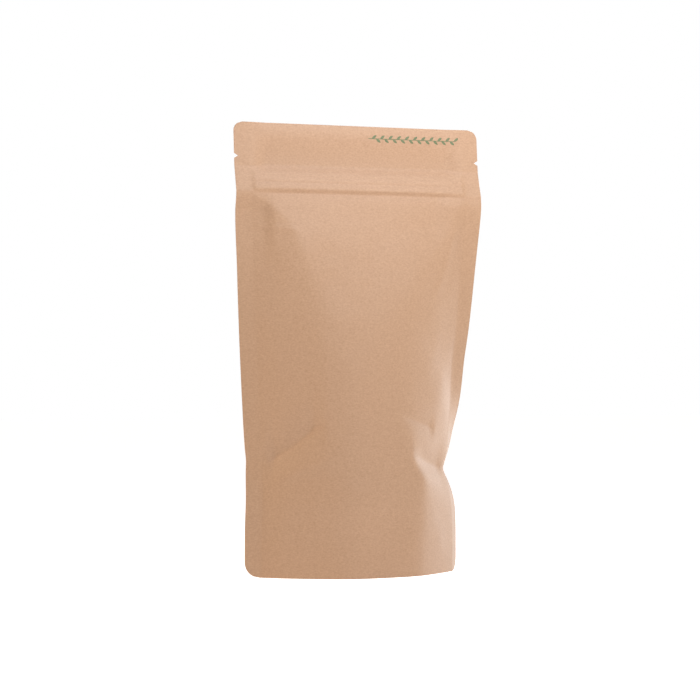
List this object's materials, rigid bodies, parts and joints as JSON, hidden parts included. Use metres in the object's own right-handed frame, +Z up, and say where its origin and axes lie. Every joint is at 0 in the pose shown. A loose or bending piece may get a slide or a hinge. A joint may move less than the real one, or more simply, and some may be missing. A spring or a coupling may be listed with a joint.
{
  "type": "stand-up coffee pouch",
  "caption": "Filled, shut stand-up pouch of plain brown kraft paper with a pressed zip band, tear notches, sealed side seams and a gusseted foot it stands on.",
  "frame": {"origin": "On the floor, under the middle of the pouch's width and depth", "axes": "+X to the pouch's right as its front is seen, +Y to its back, +Z up; the front faces -Y"},
  "size_m": [0.13, 0.0513, 0.226],
  "materials": {
    "kraft_paper": "uncoated, matte"
  },
  "bodies": {
    "root": {"pouch": "kraft_paper"}
  },
  "joints": []
}
